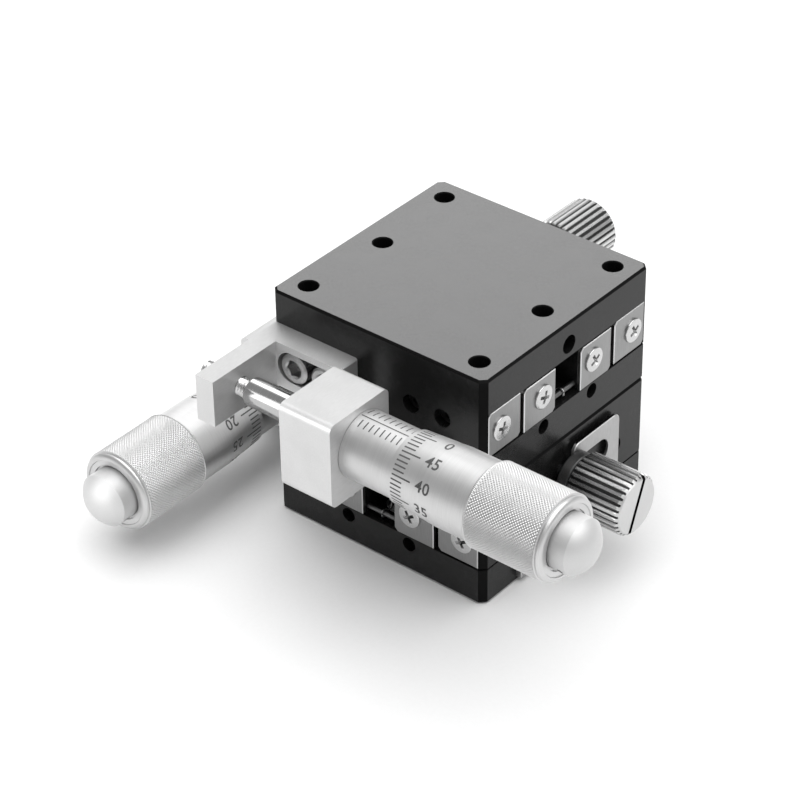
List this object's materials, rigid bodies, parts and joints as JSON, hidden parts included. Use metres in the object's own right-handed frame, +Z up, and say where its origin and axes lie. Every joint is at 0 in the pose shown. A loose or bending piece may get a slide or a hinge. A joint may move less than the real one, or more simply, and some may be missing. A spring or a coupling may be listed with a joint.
{
  "type": "ball bearing linear stage",
  "caption": "Two-axis manual positioning stage: stacked ball bearing slides, each moved by a micrometer head against a spring and held by a slotted clamp.",
  "frame": {"origin": "centre of the lower base's bottom face", "axes": "+Z up, out of the upper table's top face; X along the upper stage's travel, with its micrometer thimble towards +X; Y along the lower stage's travel, with its thimble towards -Y"},
  "size_m": [0.0868, 0.0812, 0.04],
  "materials": {
    "black_anodised": "black anodised, satin",
    "clear_anodised": "clear anodised, fine satin",
    "satin_chrome": "satin chrome",
    "spindle_steel": "ground",
    "end_plate_steel": "satin",
    "screw_steel": "bright",
    "black_screw": "black oxide",
    "knob_steel": "turned",
    "washer_steel": "dark satin",
    "hard_steel": "ground",
    "cage_brass": "satin",
    "spring_steel": "drawn wire"
  },
  "bodies": {
    "base": {"lower_base": "black_anodised", "lower_base_rails": "hard_steel", "lower_base_stops": "end_plate_steel", "lower_base_stop_screws": "screw_steel", "lower_holder": "clear_anodised", "lower_holder_screws": "screw_steel", "lower_sleeve": "satin_chrome", "lower_clamp_plate": "end_plate_steel", "lower_clamp_plate_screws": "screw_steel", "lower_base_spring_pin": "screw_steel", "lower_spring": "spring_steel"},
    "lower_table": {"lower_table": "black_anodised", "lower_table_rails": "hard_steel", "lower_table_stops": "end_plate_steel", "lower_table_stop_screws": "screw_steel", "lower_bracket": "clear_anodised", "lower_bracket_screws": "screw_steel", "lower_anvil": "screw_steel", "lower_clamp_washer": "washer_steel", "lower_table_spring_pin": "screw_steel", "lower_preload_screws": "black_screw", "upper_base": "black_anodised", "upper_base_rails": "hard_steel", "upper_base_stops": "end_plate_steel", "upper_base_stop_screws": "screw_steel", "upper_holder": "clear_anodised", "upper_holder_screws": "screw_steel", "upper_sleeve": "satin_chrome", "upper_clamp_plate": "end_plate_steel", "upper_clamp_plate_screws": "screw_steel", "upper_base_spring_pin": "screw_steel", "upper_spring": "spring_steel", "stack_screws": "screw_steel"},
    "lower_cages": {"lower_cages": "cage_brass", "lower_balls": "hard_steel"},
    "lower_spindle": {"lower_spindle": "spindle_steel"},
    "lower_thimble": {"lower_thimble": "satin_chrome", "lower_cap": "satin_chrome"},
    "lower_stud": {"lower_clamp_stud": "screw_steel"},
    "lower_knob": {"lower_clamp_knob": "knob_steel"},
    "upper_table": {"upper_table": "black_anodised", "upper_table_rails": "hard_steel", "upper_table_stops": "end_plate_steel", "upper_table_stop_screws": "screw_steel", "upper_bracket": "clear_anodised", "upper_bracket_screws": "screw_steel", "upper_anvil": "screw_steel", "upper_clamp_washer": "washer_steel", "upper_table_spring_pin": "screw_steel", "upper_preload_screws": "black_screw"},
    "upper_cages": {"upper_cages": "cage_brass", "upper_balls": "hard_steel"},
    "upper_spindle": {"upper_spindle": "spindle_steel"},
    "upper_thimble": {"upper_thimble": "satin_chrome", "upper_cap": "satin_chrome"},
    "upper_stud": {"upper_clamp_stud": "screw_steel"},
    "upper_knob": {"upper_clamp_knob": "knob_steel"}
  },
  "joints": [
    {"name": "lower_table_slide", "type": "slide", "parent": "base", "child": "lower_table", "axis": [0, -1, 0], "range_m": [-0.0065, 0.0065], "deforming": ["lower_spring"]},
    {"name": "lower_cage_slide", "type": "slide", "parent": "base", "child": "lower_cages", "axis": [0, -1, 0], "range_m": [-0.00325, 0.00325]},
    {"name": "lower_spindle_slide", "type": "slide", "parent": "base", "child": "lower_spindle", "axis": [0, -1, 0], "range_m": [-0.0065, 0.0065]},
    {"name": "lower_thimble_turn", "type": "hinge", "parent": "lower_spindle", "child": "lower_thimble", "pos_m": [-0.0317, 0, 0.0107], "axis": [0, -1, 0], "range_deg": [-4680, 4680]},
    {"name": "lower_clamp_slide", "type": "slide", "parent": "lower_table", "child": "lower_stud", "axis": [1, 0, 0], "range_m": [0, 0.0005]},
    {"name": "lower_clamp_turn", "type": "hinge", "parent": "lower_stud", "child": "lower_knob", "pos_m": [0.023, 0, 0.0128], "axis": [1, 0, 0], "range_deg": [0, 360]},
    {"name": "upper_table_slide", "type": "slide", "parent": "lower_table", "child": "upper_table", "axis": [1, 0, 0], "range_m": [-0.0065, 0.0065], "deforming": ["upper_spring"]},
    {"name": "upper_cage_slide", "type": "slide", "parent": "lower_table", "child": "upper_cages", "axis": [1, 0, 0], "range_m": [-0.00325, 0.00325]},
    {"name": "upper_spindle_slide", "type": "slide", "parent": "lower_table", "child": "upper_spindle", "axis": [1, 0, 0], "range_m": [-0.0065, 0.0065]},
    {"name": "upper_thimble_turn", "type": "hinge", "parent": "upper_spindle", "child": "upper_thimble", "pos_m": [0, -0.0317, 0.0307], "axis": [1, 0, 0], "range_deg": [-4680, 4680]},
    {"name": "upper_clamp_slide", "type": "slide", "parent": "upper_table", "child": "upper_stud", "axis": [0, 1, 0], "range_m": [0, 0.0005]},
    {"name": "upper_clamp_turn", "type": "hinge", "parent": "upper_stud", "child": "upper_knob", "pos_m": [0, 0.023, 0.0328], "axis": [0, 1, 0], "range_deg": [0, 360]}
  ],
  "couplings": [
    {"joint": "lower_spindle_slide", "follows": "lower_table_slide", "ratio": 1},
    {"joint": "lower_cage_slide", "follows": "lower_table_slide", "ratio": 0.5},
    {"joint": "lower_thimble_turn", "follows": "lower_table_slide", "rad_per_m": 12566},
    {"joint": "lower_clamp_turn", "follows": "lower_clamp_slide", "rad_per_m": 12566},
    {"joint": "upper_spindle_slide", "follows": "upper_table_slide", "ratio": 1},
    {"joint": "upper_cage_slide", "follows": "upper_table_slide", "ratio": 0.5},
    {"joint": "upper_thimble_turn", "follows": "upper_table_slide", "rad_per_m": 12566},
    {"joint": "upper_clamp_turn", "follows": "upper_clamp_slide", "rad_per_m": 12566}
  ]
}
